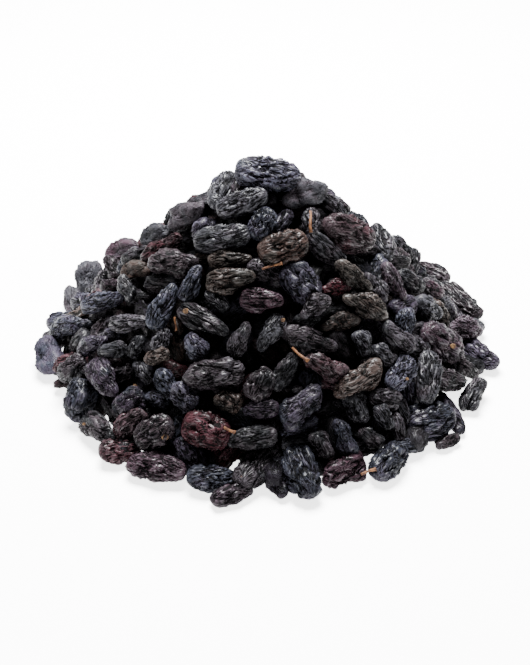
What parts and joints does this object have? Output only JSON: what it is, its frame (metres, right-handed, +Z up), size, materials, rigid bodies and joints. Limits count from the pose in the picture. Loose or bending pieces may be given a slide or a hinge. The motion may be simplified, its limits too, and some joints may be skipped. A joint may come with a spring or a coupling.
{
  "type": "heap of black raisins",
  "caption": "Loose cone-shaped heap of wrinkled black raisins resting on its flat foot, with a few short dry stalks still on them.",
  "frame": {"origin": "middle of the footprint on the surface the heap rests on", "axes": "+Z up, -Y towards the viewer of the picture, +X to its right"},
  "size_m": [0.1454, 0.1478, 0.0701],
  "materials": {
    "skin_blue": "dry wrinkled blue-black fruit skin with a dull bloom",
    "skin_brown": "wrinkled warm dark brown fruit skin, matte",
    "skin_grey": "dry wrinkled grey-black fruit skin with a dull bloom",
    "skin_purple": "wrinkled purple-black fruit skin, satin",
    "skin_red": "wrinkled dark red-purple fruit skin, satin",
    "stalk": "dry woody stalk, matte"
  },
  "bodies": {
    "root": {"heap": "skin_grey", "stalk_01": "stalk", "stalk_02": "stalk", "stalk_03": "stalk", "stalk_04": "stalk", "stalk_05": "stalk", "stalk_06": "stalk", "top_raisin": "skin_blue", "brown_raisin_01": "skin_brown", "red_raisin_01": "skin_red", "foot_raisin_01": "skin_grey", "foot_raisin_02": "skin_grey", "brown_raisin_02": "skin_brown", "brown_raisin_03": "skin_brown", "foot_raisin_03": "skin_grey", "foot_raisin_04": "skin_grey", "purple_raisin_01": "skin_purple", "red_raisin_02": "skin_red", "brown_raisin_04": "skin_brown", "brown_raisin_05": "skin_brown", "purple_raisin_02": "skin_purple", "foot_raisin_05": "skin_blue", "red_raisin_03": "skin_red", "foot_raisin_06": "skin_red", "foot_raisin_07": "skin_purple", "foot_raisin_08": "skin_blue", "foot_raisin_09": "skin_purple", "foot_raisin_10": "skin_grey", "foot_raisin_11": "skin_blue", "foot_raisin_12": "skin_blue", "red_raisin_04": "skin_red", "brown_raisin_06": "skin_brown", "foot_raisin_13": "skin_purple", "foot_raisin_14": "skin_blue", "foot_raisin_15": "skin_blue", "foot_raisin_16": "skin_blue", "foot_raisin_17": "skin_grey", "foot_raisin_18": "skin_grey", "foot_raisin_19": "skin_blue", "purple_raisin_03": "skin_purple", "foot_raisin_20": "skin_grey", "foot_raisin_21": "skin_blue", "foot_raisin_22": "skin_blue", "foot_raisin_23": "skin_brown", "foot_raisin_24": "skin_grey", "foot_raisin_25": "skin_grey", "foot_raisin_26": "skin_grey", "foot_raisin_27": "skin_blue", "foot_raisin_28": "skin_red", "foot_raisin_29": "skin_blue", "foot_raisin_30": "skin_grey", "foot_raisin_31": "skin_grey", "foot_raisin_32": "skin_grey", "foot_raisin_33": "skin_grey"}
  },
  "joints": []
}
